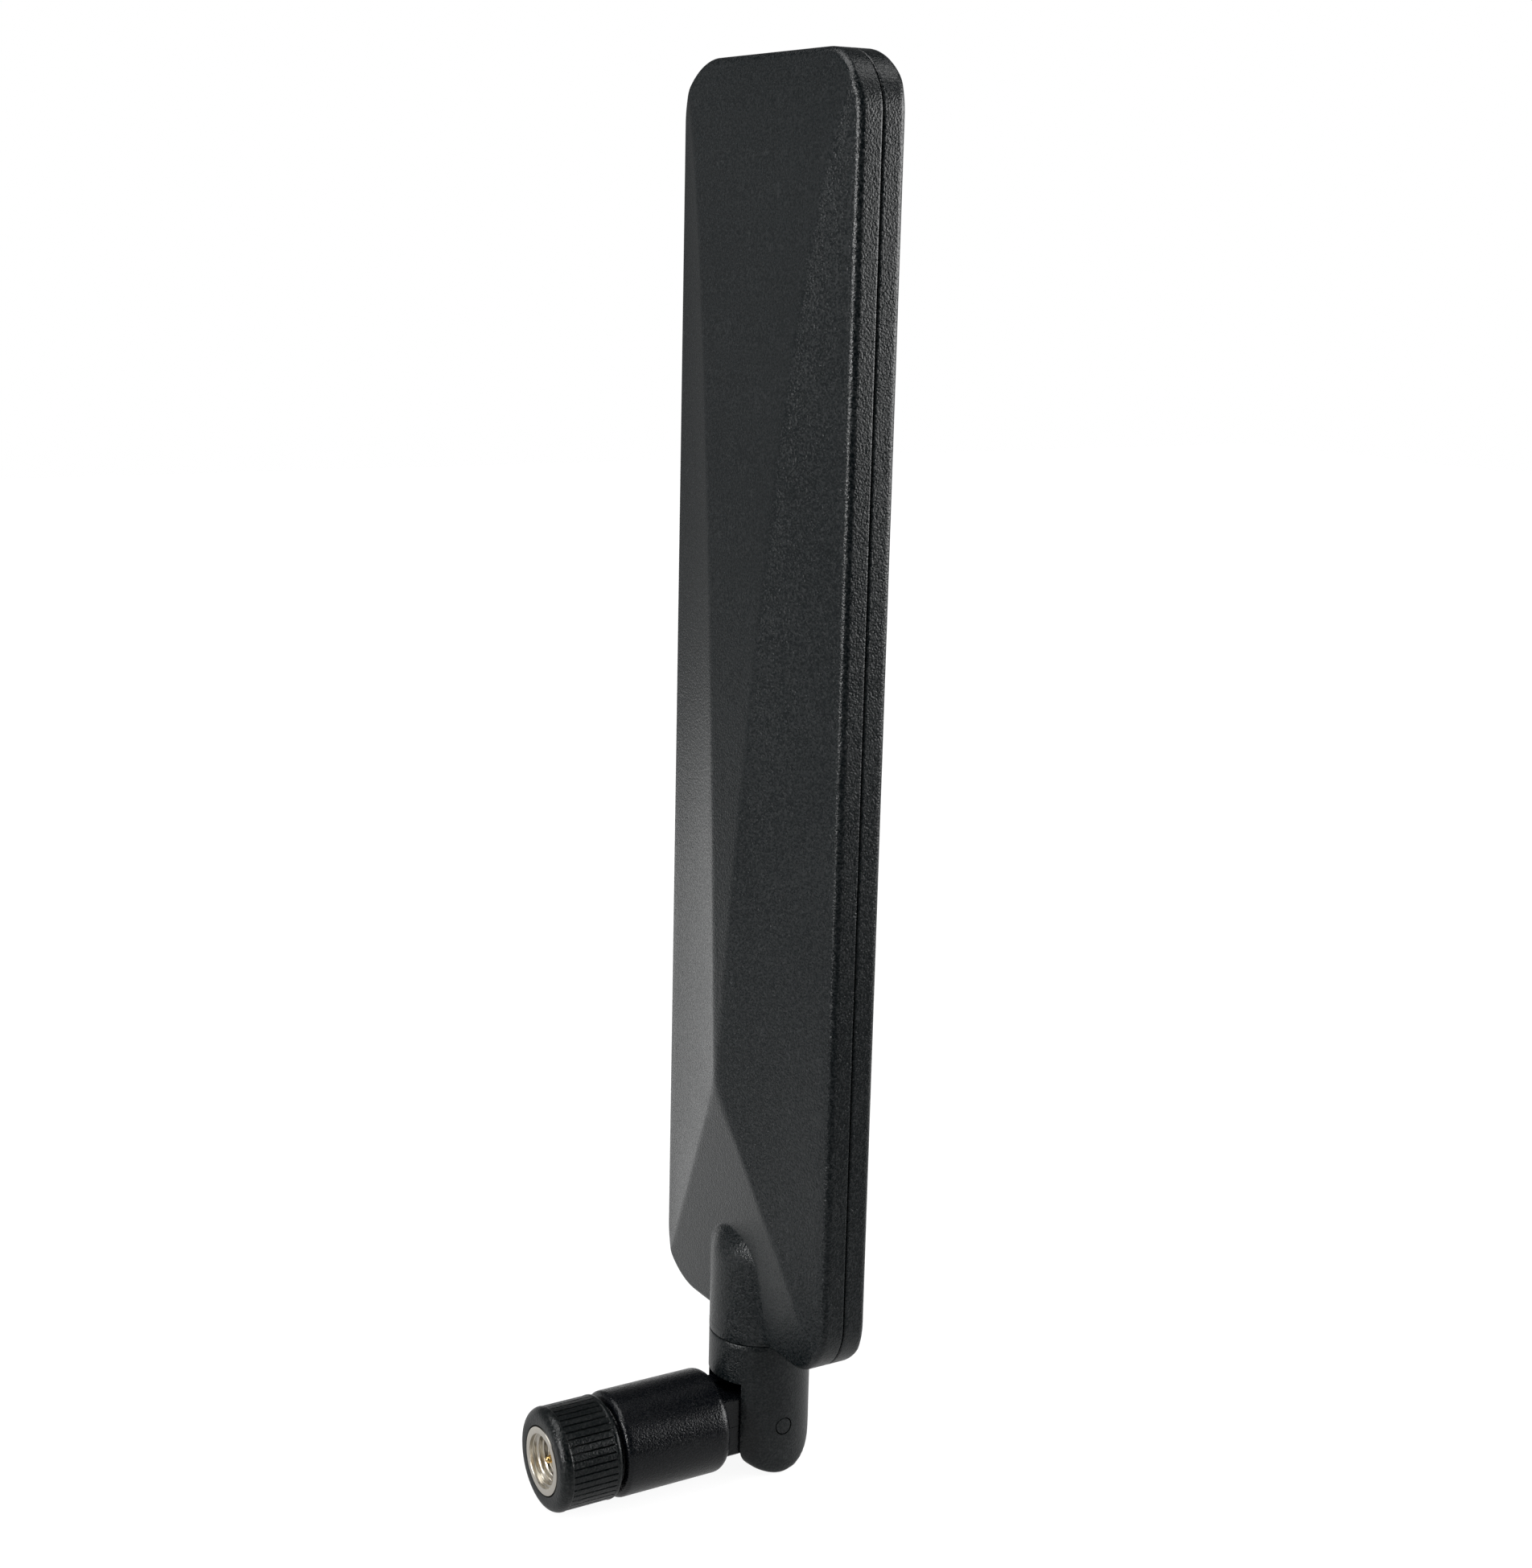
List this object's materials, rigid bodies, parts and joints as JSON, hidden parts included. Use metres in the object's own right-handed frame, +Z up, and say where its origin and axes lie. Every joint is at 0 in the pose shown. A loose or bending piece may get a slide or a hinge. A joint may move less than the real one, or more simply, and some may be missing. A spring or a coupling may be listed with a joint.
{
  "type": "paddle antenna",
  "caption": "Flat paddle antenna with a faceted two-shell blade on a fork hinge, and a knurled coaxial screw plug that swivels and stands square to the blade.",
  "frame": {"origin": "centre of the coupling nut's mouth, on the plug's axis", "axes": "-Y out of the plug's mouth, +Z up along the blade, X along the hinge pins"},
  "size_m": [0.0368, 0.0361, 0.1638],
  "materials": {
    "matte_black": "fine spark-eroded texture",
    "satin_black": "satin with a fine grain",
    "nickel_plate": "satin nickel plate on brass",
    "gold_plate": "bright gold plate on brass",
    "spring_steel": "plain",
    "copper": "bare copper",
    "tinned_braid": "tinned",
    "fluoropolymer": "smooth white",
    "jacket": "smooth",
    "glass_board": "green solder mask",
    "seal_rubber": "plain",
    "nylon": "natural nylon"
  },
  "bodies": {
    "plug": {"connector_shell": "nickel_plate", "plug_dielectric": "fluoropolymer", "centre_contact": "gold_plate", "plug_braid": "tinned_braid", "crimp_ferrule": "nickel_plate", "retaining_ring": "spring_steel", "gasket": "seal_rubber", "friction_ring": "nylon"},
    "nut": {"coupling_nut": "nickel_plate", "nut_sleeve": "satin_black"},
    "knuckle": {"knuckle": "satin_black"},
    "blade": {"front_shell": "matte_black", "rear_shell": "matte_black", "fork": "matte_black", "hinge_pin_left": "matte_black", "hinge_pin_right": "matte_black", "radiator_board": "glass_board", "upper_radiator": "copper", "lower_radiator": "copper", "core_solder": "tinned_braid", "braid_solder": "tinned_braid", "cable_jacket": "jacket", "cable_braid": "tinned_braid", "cable_insulation": "fluoropolymer", "cable_core": "copper"}
  },
  "joints": [
    {"name": "nut_spin", "type": "hinge", "parent": "plug", "child": "nut", "pos_m": [0, 0, 0], "axis": [0, 1, 0], "continuous": true},
    {"name": "swivel", "type": "hinge", "parent": "plug", "child": "knuckle", "pos_m": [0, 0, 0], "axis": [0, 1, 0], "range_deg": [-180, 180]},
    {"name": "tilt", "type": "hinge", "parent": "knuckle", "child": "blade", "pos_m": [0, 0.0291, 0], "axis": [1, 0, 0], "range_deg": [-90, 0], "deforming": ["cable_jacket"]}
  ]
}
